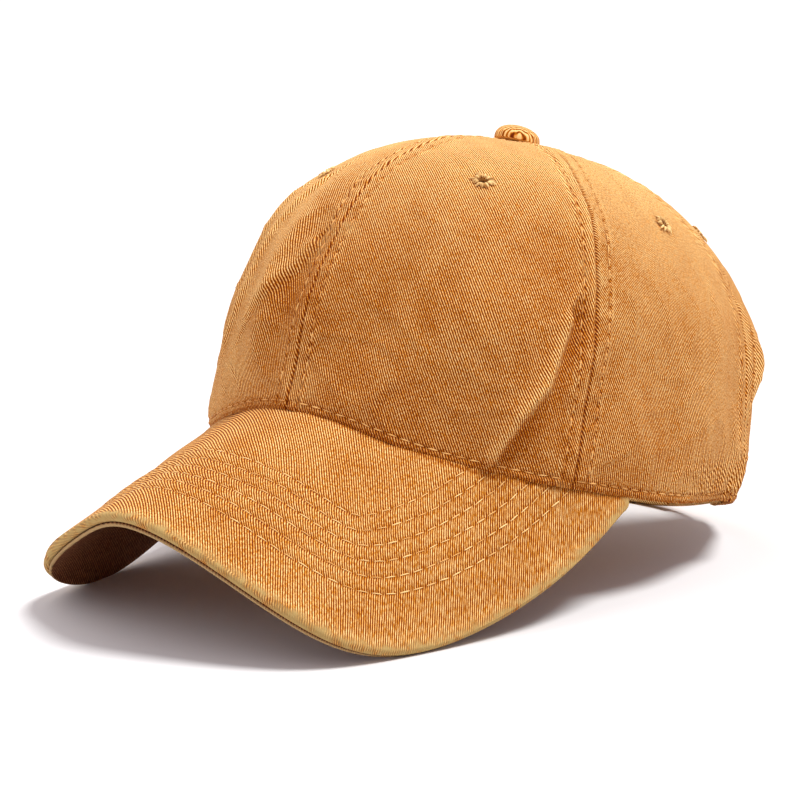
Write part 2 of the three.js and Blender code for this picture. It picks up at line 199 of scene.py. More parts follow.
def lay_out(sheet, points, grain, wear, rub=0):
    """Moves the grid's corners to their places and stores the cloth's grain and rubbing, and its
    fading, which holds painted light and shade on some pieces.
    """
    sheet.data.vertices.foreach_set("co", in_metres(points).ravel())
    corners = np.empty(len(sheet.data.loops), int)
    sheet.data.loops.foreach_get("vertex_index", corners)
    sheet.data.uv_layers[0].name = "grain"
    sheet.data.uv_layers[0].data.foreach_set("uv", (grain[corners] * mm).ravel())
    mark(sheet.data, "wear", wear)
    mark(sheet.data, "rub", rub)
    sheet.data.update()


def activate(piece):
    bpy.ops.object.select_all(action="DESELECT")
    piece.select_set(True)
    bpy.context.view_layer.objects.active = piece


def open_for_editing(piece):
    """Starts work on all of a piece's mesh."""
    activate(piece)
    bpy.ops.object.mode_set(mode="EDIT")
    bpy.ops.mesh.select_all(action="SELECT")


def press_flat(piece):
    """What would reach below the table is pressed flat on it."""
    places = corner_places(piece)
    places[:, 2] = np.maximum(places[:, 2], 0)
    piece.data.vertices.foreach_set("co", places.ravel())
    piece.data.update()


def thicken(sheet, thickness):
    """Gives the sheet its thickness, in millimetres, behind its face."""
    activate(sheet)
    wall = sheet.modifiers.new("thickness", "SOLIDIFY")
    wall.thickness = thickness * mm
    wall.offset = -1
    bpy.ops.object.modifier_apply(modifier=wall.name)
    press_flat(sheet)
    bpy.ops.object.shade_smooth_by_angle(angle=radians(50))


seam_allowance = 5.6
seam_stitch_row = 4.4
rim_stitch_row = 2.3
stitch_step = 4.4
rim_tuck = 0.4


def seam_distance(turn, fall):
    """Distance from the nearest seam between panels, in millimetres."""
    out, _ = meridian(turn, fall * rim_angle(turn))
    off = (np.degrees(turn) + 30) % 60 - 30
    return np.abs(np.radians(off)) * out


def rim_distance(turn, fall):
    return (1 - fall) * rim_angle(turn) * widest_radius(turn)


# Each crease's height, width and hollow, and the places that it runs through, given as turn in
# degrees and fall. Its crest falls gently on its left and steeply on its right, into the hollow.
creases = [
    (2.3, 2.7, 2.8, [(54, 0.69), (52, 0.76), (50.5, 0.82), (46.2, 0.89), (42.2, 0.98)]),
    (1.2, 3.5, 0.9, [(-6, 0.66), (-8, 0.71), (-13, 0.77), (-17, 0.81)]),
    (1.0, 3.5, 0.5, [(-20, 0.48), (-24, 0.61), (-25, 0.72), (-29, 0.84)]),
    (0.9, 3.5, 0.5, [(-34, 0.50), (-38, 0.66), (-40, 0.80)]),
    (0.5, 7.0, 0.5, [(27, 0.55), (22, 0.72), (20, 0.88)]),
    (1.0, 4.0, 1.0, [(122, 0.60), (127, 0.72), (124, 0.82)]),
    (0.5, 3.0, 0.5, [(112, 0.80), (116, 0.90), (113, 0.97)]),
    (0.9, 5.0, 0.9, [(-60, 0.68), (-70, 0.84), (-72, 0.95)]),
    (1.0, 5.0, 1.0, [(-122, 0.62), (-128, 0.76), (-124, 0.86)]),
]


def crease_rise(turn, fall):
    radius = widest_radius(turn)
    down = fall * rim_angle(turn) * radius
    rise = np.zeros_like(turn)
    for high, wide, hollow, route in creases:
        nearest = np.full_like(turn, 1e6)
        signed = np.zeros_like(turn)
        for (turn_a, fall_a), (turn_b, fall_b) in zip(route, route[1:]):
            off = turn - radians(turn_a)
            across = np.arctan2(np.sin(off), np.cos(off)) * radius
            below = down - fall_a * rim_angle(turn) * radius
            run = radians(turn_b - turn_a) * radius
            drop = (fall_b - fall_a) * rim_angle(turn) * radius
            length = np.hypot(run, drop)
            share = np.clip((across * run + below * drop) / length**2, 0, 1)
            distance = np.hypot(across - share * run, below - share * drop)
            side = np.sign(across * drop - below * run)
            closer = distance < nearest
            nearest = np.where(closer, distance, nearest)
            signed = np.where(closer, side * distance, signed)
        steep, fade = hump(signed, 0.55 * wide), hump(signed, 2.8 * wide)
        right = high * steep - hollow * (1 - steep) * fade
        rise += np.where(signed < 0, high * hump(signed, wide), right)
    return rise * (1 - smooth_step(fall, 0.965, 1.0))


lump_height, crinkle_height, gather_height, gather_step = 0.45, 0.42, 0.48, 5.0


def soft_relief(turn, fall):
    """The cloth's rise from the plain crown by its folds, creases and soft unevenness."""
    plain = crown_place(turn, fall)
    loose = smooth_step(fall, 0.12, 0.45)
    rise = fold_rise(turn, fall) + crease_rise(turn, fall)
    rise += lump_height * soft_noise(plain, 20, 7) * loose
    crinkle = np.clip(1 - 1.6 * np.abs(soft_noise(plain, 13, 9)), 0, 1)
    rise += crinkle_height * crinkle**2 * loose
    back = smooth_step(np.abs(np.degrees(turn)), 70, 105)
    over_rim = rim_distance(turn, fall)
    around = turn * widest_radius(turn)
    gathers = np.cos(tau * around / gather_step + 2 * soft_noise(plain, 18, 5))
    rise += gather_height * gathers * back * hump(over_rim - 8, 7)
    return rise


stitch_share = 0.78
groove_width, hole_width = 0.55, 0.5
row_falls = np.linspace(0.02, 1, 400)
rim_turns = np.linspace(-pi, pi, 1500)


def lengths_along(path):
    steps = np.linalg.norm(np.diff(path, axis=0), axis=1)
    return np.concatenate([[0], np.cumsum(steps)])


def seam_lengths(seam):
    return lengths_along(crown_place(np.full_like(row_falls, radians(seam)), row_falls))


along_seams = {seam: seam_lengths(seam) for seam in range(-180, 181, 60)}
rim_row_falls = 1 - rim_stitch_row / (rim_angle(rim_turns) * widest_radius(rim_turns))
along_rim = lengths_along(crown_place(rim_turns, rim_row_falls))


def needle_holes(travelled, aside):
    """1 in the middle of the gap between two stitches of a row, where the cloth is drawn in."""
    phase = travelled / stitch_step - (1 + stitch_share) / 2
    off = (phase - np.round(phase)) * stitch_step
    return hump(off, hole_width) * hump(aside, hole_width)


def row_marks(turn, fall):
    """How much each place of the crown lies in a row of stitches, and in one of its holes."""
    off_tip = smooth_step(fall, 0.06, 0.16)
    nearest = np.round(np.degrees(turn) / 60) * 60
    travelled = np.zeros_like(turn)
    for seam, lengths in along_seams.items():
        travelled = np.where(nearest == seam, np.interp(fall, row_falls, lengths), travelled)
    aside = seam_distance(turn, fall) - seam_stitch_row
    grooves = hump(aside, groove_width) * off_tip
    holes = needle_holes(travelled, aside) * off_tip
    aside = rim_distance(turn, fall) - rim_stitch_row
    grooves = np.maximum(grooves, hump(aside, groove_width))
    holes = np.maximum(holes, needle_holes(np.interp(turn, rim_turns, along_rim), aside))
    return grooves, holes


allowance_height, seam_depth, seam_width, rim_depth = 0.45, 0.8, 0.45, 0.35
groove_depth, hole_depth, pucker_height = 0.28, 0.35, 0.17


def crown_relief(turn, fall):
    """The soft relief with the seams, their allowances and the stitched rim."""
    plain = crown_place(turn, fall)
    beside, over_rim = seam_distance(turn, fall), rim_distance(turn, fall)
    off_tip = smooth_step(fall, 0.06, 0.16)
    rise = soft_relief(turn, fall)
    on_allowance = 1 - smooth_step(beside, seam_allowance - 0.7, seam_allowance + 0.5)
    rise += allowance_height * on_allowance * off_tip
    rise -= seam_depth * hump(beside, seam_width)
    grooves, holes = row_marks(turn, fall)
    rise -= groove_depth * grooves + hole_depth * holes
    down = fall * rim_angle(turn) * crown_height
    pucker = np.cos(tau * down / (1.5 * stitch_step) + 3 * soft_noise(plain, 14, 3))
    rise += pucker_height * pucker * hump(beside - 3.2, 2.6) * off_tip
    rise -= rim_depth * hump(over_rim, 0.5)
    return rise


# Patches of painted shade in the crown's dents and hollows: turn, fall, width in degrees, height
# as a share of the way down, and how much darker the cloth is painted.
shade_patches = [
    (50, 0.56, 9, 0.13, 0.13),
    (-4, 0.785, 9, 0.055, 0.20),
    (80, 0.94, 16, 0.09, 0.12),
    (27, 0.88, 18, 0.10, 0.05),
]


low_wear, top_fade_and_highlight = 0.29, 0.49


def crown_wear_and_shade(turn, fall):
    """Fading of the washed cloth with painted light and shade, from 0, deep dye, to 1, faded.

    Painted shade darkens the dents, the hollows of folds and creases, the seams, the rows of
    stitches and their needle holes, and the rim's edge where it meets the peak. Painted highlight
    pales the crests, the sides and the top. The top is also faded by the sun, and the edges
    beside the seams are rubbed pale.
    """
    plain = crown_place(turn, fall)
    beside, over_rim = seam_distance(turn, fall), rim_distance(turn, fall)
    # Paler towards the top: partly faded by the sun, partly a painted highlight of the light from
    # above.
    wear = low_wear + top_fade_and_highlight * (1 - smooth_step(fall, 0.15, 0.72))
    degrees = np.degrees(turn)
    # Painted highlight: paler on both sides and most of all on the cap's right half, where lit.
    wear += 0.12 * smooth_step(np.abs(degrees), 52, 95) + 0.22 * smooth_step(-degrees, 8, 18)
    # Painted shade in the dents and hollows.
    for patch_turn, patch_fall, wide, high, darker in shade_patches:
        aside, below = (degrees - patch_turn) / wide, (fall - patch_fall) / high
        wear -= darker * np.exp(-(aside**2) - below**2)
    wear += 0.025 * soft_noise(plain, 18, 11) + 0.03 * soft_noise(plain, 5, 13)
    # Painted highlight on the crests of the folds and creases and painted shade in their hollows.
    wear += 0.03 * np.clip(fold_rise(turn, fall), -3, 3)
    wear += 0.13 * np.clip(crease_rise(turn, fall), -2, 2.4)
    patches = np.clip(0.5 + 0.7 * soft_noise(plain, 4, 15), 0, 1)
    wear += 0.16 * patches * hump(beside - 1.3, 0.8)
    wear += 0.20 * patches * hump(beside - seam_allowance, 0.7)
    # Painted shade in the seam's groove.
    wear -= 0.35 * hump(beside, seam_width)
    # Painted shade along the rows of stitches and in their needle holes.
    grooves, holes = row_marks(turn, fall)
    wear -= 0.16 * grooves + 0.9 * holes
    # Painted shade below the rim's row of stitches and along the rim's edge, where it meets the
    # peak.
    wear -= 0.10 * (over_rim < rim_stitch_row) + 0.35 * hump(over_rim, 0.6)
    return wear


def crown_rub(turn, fall):
    """Patches beside the seams where washing has taken the dye off."""
    plain = crown_place(turn, fall)
    patches = np.clip(soft_noise(plain, 9, 19) - 0.5, 0, 1)
    patches *= np.clip(0.6 + 0.5 * soft_noise(plain, 2, 20), 0, 1)
    beside = seam_distance(turn, fall)
    return 0.35 * patches * hump(beside - 4, 4.5) * smooth_step(fall, 0.2, 0.4)


def add_node(tree, kind, **settings):
    """A new node, set down below the earlier ones or to their right."""
    column, row = divmod(len(tree.nodes), 4)
    node = tree.nodes.new(kind)
    node.location = (240 * column - 1800, -220 * row)
    for key, value in settings.items():
        setattr(node, key, value)
    return node


def feed(tree, sockets, values):
    """Gives sockets their values, which are numbers, colours or other nodes' outputs."""
    for socket, value in zip(sockets, values):
        if hasattr(value, "links"):
            tree.links.new(value, socket)
        else:
            socket.default_value = value


def arithmetic(tree, operation, *values):
    node = add_node(tree, "ShaderNodeMath", operation=operation)
    feed(tree, node.inputs, values)
    return node.outputs[0]


def mixed(tree, share, first, second):
    """A colour between two others."""
    node = add_node(tree, "ShaderNodeMix", data_type="RGBA")
    feed(tree, (node.inputs[0], node.inputs[6], node.inputs[7]), (share, first, second))
    return node.outputs[2]


rib_relief, rib_waver, waver_scale = 0.4, 0.3, 160
yarn_scale, yarn_shortness, yarn_fuzz = 1.6, 0.6, 0.4
# The ribs are painted lighter than the gaps between them: partly faded by washing, partly painted
# shade in the gaps.
rib_shade_contrast, rib_shade_base = 1.4, -0.96
yarn_contrast, yarn_base = 1.2, -0.6


def twill_group():
    """Diagonal ribs of twill on the cloth's grain: their height and the yarns' uneven dye."""
    group = bpy.data.node_groups.new("twill", "ShaderNodeTree")
    sockets = group.interface
    sockets.new_socket("Grain", in_out="INPUT", socket_type="NodeSocketVector")
    for name in ("Rib Step", "Slope"):
        sockets.new_socket(name, in_out="INPUT", socket_type="NodeSocketFloat")
    sockets.new_socket("Height", in_out="OUTPUT", socket_type="NodeSocketFloat")
    sockets.new_socket("Yarn", in_out="OUTPUT", socket_type="NodeSocketFloat")
    start = add_node(group, "NodeGroupInput")
    end = add_node(group, "NodeGroupOutput")
    waver = add_node(group, "ShaderNodeTexNoise", noise_dimensions="2D")
    waver.inputs["Scale"].default_value = waver_scale
    waver.inputs["Detail"].default_value = 2
    split = add_node(group, "ShaderNodeSeparateXYZ")
    group.links.new(start.outputs["Grain"], split.inputs[0])
    group.links.new(start.outputs["Grain"], waver.inputs["Vector"])
    sine = arithmetic(group, "SINE", start.outputs["Slope"])
    cosine = arithmetic(group, "COSINE", start.outputs["Slope"])
    across_u = arithmetic(group, "MULTIPLY", split.outputs[0], sine)
    across_v = arithmetic(group, "MULTIPLY", split.outputs[1], cosine)
    across = arithmetic(group, "ADD", across_u, across_v)
    along_u = arithmetic(group, "MULTIPLY", split.outputs[0], cosine)
    along_v = arithmetic(group, "MULTIPLY", split.outputs[1], sine)
    along = arithmetic(group, "SUBTRACT", along_u, along_v)
    bend = arithmetic(group, "MULTIPLY", waver.outputs[0], rib_waver * mm)
    across = arithmetic(group, "ADD", across, bend)
    ribs = arithmetic(group, "DIVIDE", across, start.outputs["Rib Step"])
    floats = arithmetic(group, "DIVIDE", along, start.outputs["Rib Step"])
    turned = arithmetic(group, "MULTIPLY", ribs, tau)
    wave = arithmetic(group, "SINE", turned)
    rib_height = arithmetic(group, "MULTIPLY_ADD", wave, 0.5, 0.5)
    cell = add_node(group, "ShaderNodeCombineXYZ")
    group.links.new(ribs, cell.inputs[0])
    stretched = arithmetic(group, "MULTIPLY", floats, yarn_shortness)
    group.links.new(stretched, cell.inputs[1])
    yarn = add_node(group, "ShaderNodeTexNoise", noise_dimensions="2D")
    yarn.inputs["Scale"].default_value = yarn_scale
    yarn.inputs["Detail"].default_value = 2
    yarn.inputs["Roughness"].default_value = 0.6
    group.links.new(cell.outputs[0], yarn.inputs["Vector"])
    fuzz = arithmetic(group, "MULTIPLY", yarn.outputs[0], yarn_fuzz)
    height = arithmetic(group, "ADD", rib_height, fuzz)
    group.links.new(height, end.inputs["Height"])
    group.links.new(yarn.outputs[0], end.inputs["Yarn"])
    return group


def dye_and_shade_group():
    """Colour of washed cloth from its fading, which holds painted light and shade, and from the
    ribs, painted lighter than the gaps: partly faded ribs, partly painted shade in the gaps.
    """
    group = bpy.data.node_groups.new("dye_and_shade", "ShaderNodeTree")
    sockets = group.interface
    for name in ("Deep", "Middle", "Faded", "Bare"):
        sockets.new_socket(name, in_out="INPUT", socket_type="NodeSocketColor")
    for name in ("Wear_and_Shade", "Rub", "Height", "Yarn"):
        sockets.new_socket(name, in_out="INPUT", socket_type="NodeSocketFloat")
    sockets.new_socket("Color", in_out="OUTPUT", socket_type="NodeSocketColor")
    start = add_node(group, "NodeGroupInput")
    end = add_node(group, "NodeGroupOutput")
    # Painted shade in the gaps between the ribs, with the ribs partly faded.
    lift = arithmetic(group, "MULTIPLY_ADD", start.outputs["Height"], rib_shade_contrast, rib_shade_base)
    mottle = arithmetic(group, "MULTIPLY_ADD", start.outputs["Yarn"], yarn_contrast, yarn_base)
    total = arithmetic(group, "ADD", start.outputs["Wear_and_Shade"], lift)
    total = arithmetic(group, "ADD", total, mottle)
    spreads = []
    for least, most in ((0.0, 0.6), (0.6, 1.3)):
        spread = add_node(group, "ShaderNodeMapRange")
        feed(group, spread.inputs, (total, least, most))
        spreads.append(spread.outputs[0])
    low = mixed(group, spreads[0], start.outputs["Deep"], start.outputs["Middle"])
    high = mixed(group, spreads[1], low, start.outputs["Faded"])
    worn = mixed(group, start.outputs["Rub"], high, start.outputs["Bare"])
    group.links.new(worn, end.inputs["Color"])
    return group


twill = twill_group()
dye_and_shade = dye_and_shade_group()


def new_material(name, **values):
    """A material with these values on its shader's sockets, and its nodes."""
    material = bpy.data.materials.new(name)
    material.use_nodes = True
    shader = material.node_tree.nodes["Principled BSDF"]
    for socket, value in values.items():
        shader.inputs[socket.replace("_", " ")].default_value = value
    return material, material.node_tree, shader


def cotton_twill(name, dyes, slope, rib_step=0.8, bump=0.5, sheen=0.1):
    """Washed cotton twill: matt, with a soft sheen of loose fibres."""
    material, tree, shader = new_material(
        name, Roughness=0.92, Specular_IOR_Level=0.1,
        Sheen_Weight=sheen, Sheen_Roughness=0.5, Sheen_Tint=(1.0, 0.75, 0.4, 1),
    )
    grain = add_node(tree, "ShaderNodeUVMap", uv_map="grain")
    weave = add_node(tree, "ShaderNodeGroup", node_tree=twill)
    weave.inputs["Rib Step"].default_value = rib_step * mm
    weave.inputs["Slope"].default_value = radians(slope)
    tree.links.new(grain.outputs[0], weave.inputs["Grain"])
    wear = add_node(tree, "ShaderNodeAttribute", attribute_name="wear")
    dye = add_node(tree, "ShaderNodeGroup", node_tree=dye_and_shade)
    for socket, colour in zip(("Deep", "Middle", "Faded", "Bare"), dyes):
        dye.inputs[socket].default_value = (*colour, 1)
    rub = add_node(tree, "ShaderNodeAttribute", attribute_name="rub")
    tree.links.new(rub.outputs["Fac"], dye.inputs["Rub"])
    tree.links.new(wear.outputs["Fac"], dye.inputs["Wear_and_Shade"])
    tree.links.new(weave.outputs["Height"], dye.inputs["Height"])
    tree.links.new(weave.outputs["Yarn"], dye.inputs["Yarn"])
    tree.links.new(dye.outputs[0], shader.inputs["Base Color"])
    raised = add_node(tree, "ShaderNodeBump")
    raised.inputs["Strength"].default_value = bump
    raised.inputs["Distance"].default_value = rib_relief * mm
    tree.links.new(weave.outputs["Height"], raised.inputs["Height"])
    tree.links.new(raised.outputs[0], shader.inputs["Normal"])
    return material


ochres = ((0.17, 0.024, 0.001), (0.67, 0.225, 0.006), (0.98, 0.70, 0.30), (0.62, 0.40, 0.15))
crown_twill = cotton_twill("crown_twill", ochres, 52, 0.70)

eyelet_angle = radians(43.4)
eyelet_turns = {
    "front_left": 30, "front_right": -30,
    "side_left": 90, "side_right": -90,
    "back_left": 132, "back_right": -132,
}
eyelet_cut = 2.0


def cut_eyelet(sheet, place):
    """Opens the cloth where the eyelet is worked, a little inside its ring of thread."""
    turn = np.array([radians(eyelet_turns[place])])
    fall = eyelet_angle / rim_angle(turn)
    middle = Vector(in_metres(crown_place(turn, fall, soft_relief(turn, fall)))[0])
    activate(sheet)
    bpy.ops.object.mode_set(mode="EDIT")
    bpy.ops.mesh.select_mode(type="FACE")
    bpy.ops.mesh.select_all(action="DESELECT")
    bpy.ops.object.mode_set(mode="OBJECT")
    for face in sheet.data.polygons:
        if (face.center - middle).length < eyelet_cut * mm:
            face.select = True
    bpy.ops.object.mode_set(mode="EDIT")
    bpy.ops.mesh.delete(type="FACE")
    bpy.ops.object.mode_set(mode="OBJECT")


opening_half_width = 42.0
opening_behind_button = 47.0
arch_foot_height = 48.0
binding_width = 8.0
panel_tip = 1.9 + gap + cloth
grain_skew = 0.0008


def fall_at_radius(turn, radius):
    """Share of the way down at which the crown is this far from the button's line."""
    mix = sin(turn) ** 2
    roundness = lengthwise_roundness * (1 - mix) + sideways_roundness * mix
    widest = float(widest_radius(np.array(turn)))
    height = crown_height * (1 - (radius / widest) ** roundness) ** (1 / roundness)
    return atan2(radius, height) / float(rim_angle(np.array(turn)))


arch_top = fall_at_radius(pi, opening_behind_button)


def opening_edge(share, margin):
    """Fall, and distance from the middle, of the opening's edge moved into the cloth."""
    back = float(rim_angle(np.array(pi)))
    foot = atan2(crown_back, arch_foot_height) / back
    top = arch_top - margin / crown_height / back
    angle = np.minimum(share * 2, 1) * (pi / 2)
    below = np.maximum(share * 2 - 1, 0)
    fall = foot + (top - foot) * np.cos(angle) + (1 - foot) * below
    return fall, (opening_half_width + margin) * np.sin(angle)


def turn_across(across, fall):
    """Turn on the cap's left side at which the crown is so far across from the middle."""
    turn = np.full_like(fall, pi)
    for _ in range(12):
        out, _ = meridian(turn, fall * rim_angle(turn))
        turn = pi - np.arcsin(np.minimum(across / out, 1))
    return turn


def finish_panel(sheet, place, turn, fall, grain_turn):
    angle = fall * rim_angle(turn)
    out, _ = meridian(turn, angle)
    lowered = fall + rim_tuck / (rim_angle(turn) * widest_radius(turn)) * (fall > 0.999)
    upwards = -angle * widest_radius(turn)
    grain = np.stack([(turn - grain_turn) * out + grain_skew * upwards**2, upwards], -1)
    points = crown_place(turn, lowered, crown_relief(turn, fall))
    lay_out(sheet, points, grain, crown_wear_and_shade(turn, fall), crown_rub(turn, fall))
    cut_eyelet(sheet, place)
    thicken(sheet, cloth - panel_slack)
    sheet.data.materials.append(crown_twill)
    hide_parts(place + "_panel")
    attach(sheet, "root")


def denser(share, part, zone):
    """Shares that give the first part of a grid's lines to a narrow zone."""
    inside = share / part * zone
    outside = zone + (share - part) / (1 - part) * (1 - zone)
    return np.where(share < part, inside, outside)


stitched_zone, stitched_part = 7.5, 0.36


def seam_lines(share, width):
    """Shares across a panel, closer together where the seams' stitches are."""
    zone = np.minimum(stitched_zone / width, 0.4)
    half = np.where(share < 0.5, share, 1 - share) * 2
    half = denser(half, stitched_part, 2 * zone) / 2
    return np.where(share < 0.5, half, 1 - half)


rim_zone = {"part": 0.11, "zone": 0.038}
gore_columns, gore_rows, back_columns = 104, 160, 90


def gore(place, from_turn, to_turn):
    """A whole panel between the seams at two turns, in degrees."""
    sheet, across, up = flat_sheet(place + "_panel", gore_columns, gore_rows)
    start, end = radians(from_turn), radians(to_turn)
    tip = fall_at_radius((start + end) / 2, panel_tip)
    fall = 1 + (tip - 1) * denser(up, **rim_zone)
    middle = np.full_like(fall, (start + end) / 2)
    out, _ = meridian(middle, fall * rim_angle(middle))
    across = seam_lines(across, out * (end - start))
    turn = start + (end - start) * across
    finish_panel(sheet, place, turn, fall, (start + end) / 2)


def back_gore(place, side):
    """A back panel, cut away for the arched opening."""
    over_arch, beside_arch = 46, 150
    sheet, across, up = flat_sheet(place + "_panel", back_columns, over_arch + beside_arch)
    row = (1 - up) * (over_arch + beside_arch)
    margin = binding_width - 1.5
    start, middle = radians(120), radians(150)
    tip = fall_at_radius(middle, panel_tip)
    edge_fall, edge_across = opening_edge(np.clip((row - over_arch) / beside_arch, 0, 1), margin)
    top, _ = opening_edge(np.zeros(1), margin)
    above = row < over_arch
    fall = np.where(above, tip + (top - tip) * row / over_arch, edge_fall)
    edge = np.where(above, pi, np.minimum(pi, turn_across(edge_across, fall)))
    along = across if side > 0 else 1 - across
    turn = side * (start + (edge - start) * along)
    finish_panel(sheet, place, turn, fall, side * middle)


gore("front_left", 0, 60)
gore("front_right", -60, 0)
gore("side_left", 60, 120)
gore("side_right", -120, -60)
back_gore("back_left", 1)
back_gore("back_right", -1)

# Crown topstitching
# Polyester thread in a row on each side of every seam, through the seam allowance, and once round
# the rim. Each stitch is a short length of thread that dives into the cloth at both ends.
thread_width = 0.5
first_stitch_radius = 8.6
last_seam_stitch = 0.984
rim_row_end = 151


def stitch_shape():
    """One stitch, 1 long along X and 1 across, as its corners and triangles."""
    bpy.ops.object.select_all(action="DESELECT")
    bpy.ops.mesh.primitive_uv_sphere_add(segments=6, ring_count=6, radius=0.5)
    ball = bpy.context.object
    open_for_editing(ball)
    bpy.ops.mesh.quads_convert_to_tris()
    bpy.ops.transform.rotate(value=pi / 2, orient_axis="Y", center_override=(0, 0, 0))
    bpy.ops.object.mode_set(mode="OBJECT")
    corners = corner_places(ball)
    triangles = np.array([face.vertices for face in ball.data.polygons])
    shape = ball.data
    bpy.data.objects.remove(ball)
    bpy.data.meshes.remove(shape)
    return corners, triangles


stitch_corners, stitch_triangles = stitch_shape()


def evenly(path, normals, step, travelled=None):
    """Starts, ends and normals of stitches at even steps along a path."""
    if travelled is None:
        travelled = lengths_along(path)
        step = travelled[-1] / max(int(travelled[-1] / step), 1)
    begins = np.arange(np.ceil(travelled[0] / step), np.floor(travelled[-1] / step + 1e-6)) * step
    length = stitch_share * step

    def at(values, where):
        return np.stack([np.interp(where, travelled, values[:, i]) for i in range(3)], -1)

    return at(path, begins), at(path, begins + length), at(normals, begins + length / 2)


def thread_mesh(name, rows, width, seed):
    """Joins stitches, given as rows of starts, ends and normals, into one piece.

    Each is bowed up over the cloth, a little askew and uneven in thickness and shade.
    """
    random = np.random.default_rng(seed)
    starts, ends, normals = (np.concatenate([row[i] for row in rows]) for i in range(3))
    count = len(starts)
    along = ends - starts
    length = np.linalg.norm(along, axis=1, keepdims=True)
    along /= length
    up = unit(normals - np.sum(normals * along, -1, keepdims=True) * along)
    aside = np.cross(up, along)
    along = along + aside * random.normal(0, 0.05, (count, 1))
    middle = (starts + ends) / 2
    shape = stitch_corners[None]
    arch = 0.5 * width * (1 - (2 * shape[..., 0:1]) ** 2)
    thick = width * random.uniform(0.85, 1.15, (count, 1, 1))
    corners = (
        middle[:, None]
        + along[:, None] * length[:, None] * shape[..., 0:1]
        + aside[:, None] * thick * shape[..., 1:2]
        + up[:, None] * (thick * shape[..., 2:3] + arch)
    )
    places = in_metres(corners.reshape(-1, 3))
    faces = stitch_triangles[None] + len(stitch_corners) * np.arange(count)[:, None, None]
    mesh = bpy.data.meshes.new(name)
    mesh.from_pydata(places.tolist(), [], faces.reshape(-1, 3).tolist())
    mesh.polygons.foreach_set("use_smooth", np.ones(len(mesh.polygons), bool))
    mark(mesh, "wear", np.repeat(random.uniform(0, 1, count), len(stitch_corners)))
    piece = bpy.data.objects.new(name, mesh)
    bpy.context.collection.objects.link(piece)
    press_flat(piece)
    return piece


def sewing_thread(name, dark, light):
    """Smooth polyester thread, each stitch a little lighter or darker."""
    material, tree, shader = new_material(name, Roughness=0.7, Specular_IOR_Level=0.3)
    shade = add_node(tree, "ShaderNodeAttribute", attribute_name="wear")
    colour = mixed(tree, shade.outputs["Fac"], (*dark, 1), (*light, 1))
    tree.links.new(colour, shader.inputs["Base Color"])
    return material


def sewn(name, rows, width, seed, thread):
    """Rows of stitches as a finished piece."""
    piece = thread_mesh(name, rows, width, seed)
    piece.data.materials.append(thread)
    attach(piece, "root")


crown_thread = sewing_thread("crown_thread", (0.54, 0.22, 0.04), (0.86, 0.50, 0.17))


def on_crown(turn, fall, rise):
    """Places on the crown, so far over its plain shape, and the directions straight out of it."""
    points = crown_place(turn, fall, rise)
    step = 0.004
    round_it = crown_place(turn + step, fall, rise) - crown_place(turn - step, fall, rise)
    upwards = crown_place(turn, fall - step, rise) - crown_place(turn, fall + step, rise)
    return points, unit(np.cross(round_it, upwards))


def seam_row(seam_turn, offset, last_fall):
    """A row of stitches beside a seam, from the button's edge down."""
    turn = np.full(120, radians(seam_turn))
    first = fall_at_radius(radians(seam_turn), first_stitch_radius)
    fall = np.linspace(first, last_fall, 120)
    out, _ = meridian(turn, fall * rim_angle(turn))
    turn = turn + offset / out
    travelled = np.interp(fall, row_falls, along_seams[seam_turn])
    return evenly(*on_crown(turn, fall, crown_relief(turn, fall)), stitch_step, travelled)


def rim_row(from_turn, to_turn):
    turn = np.radians(np.linspace(from_turn, to_turn, 1200))
    fall = np.interp(turn, rim_turns, rim_row_falls)
    travelled = np.interp(turn, rim_turns, along_rim)
    return evenly(*on_crown(turn, fall, crown_relief(turn, fall)), stitch_step, travelled)


arch_tape_top = float(opening_edge(np.zeros(1), binding_width + 1)[0][0])
seam_ends = {seam: last_seam_stitch for seam in range(-120, 121, 60)} | {180: arch_tape_top}
crown_rows = [
    seam_row(seam, side * seam_stitch_row, end)
    for seam, end in seam_ends.items()
    for side in (-1, 1)
]
crown_rows.append(rim_row(-rim_row_end, rim_row_end))
sewn("crown_topstitching", crown_rows, thread_width, 21, crown_thread)

# Eyelets
# Six small air holes worked over with thread: uneven radial stitches from the hole outwards, on the
# outside and the inside, over a padding ring that lines the hole.
eyelet_hole, eyelet_rim, eyelet_stitches, eyelet_thread_width = 1.35, 4.0, 19, 0.85
padding_radius, padding_thickness, padding_height = 2.0, 0.5, 1.3
eyelet_thread = sewing_thread("eyelet_thread", (0.46, 0.22, 0.05), (0.97, 0.70, 0.30))


def eyelet_round(place, normal, side, seed):
    """Radial stitches round a hole; side 1 is outside and -1 inside."""
    random = np.random.default_rng(seed)
    first = unit(np.cross(normal, (0, 0, 1.0)))
    second = np.cross(normal, first)
    count = eyelet_stitches
    angle = (np.arange(count) + random.uniform(-0.45, 0.45, count)) * tau / count
    spokes = np.cos(angle)[:, None] * first + np.sin(angle)[:, None] * second
    inner = eyelet_hole + random.uniform(0, 0.3, (count, 1))
    outer = eyelet_rim + random.uniform(-1.3, 0.6, (count, 1))
    lift = side * (0.15 + random.uniform(0, 0.35, (count, 1)))
    starts = place + spokes * inner + normal * lift
    ends = place + spokes * outer + normal * lift * 0.6
    return starts, ends, np.repeat(side * normal[None], count, 0)


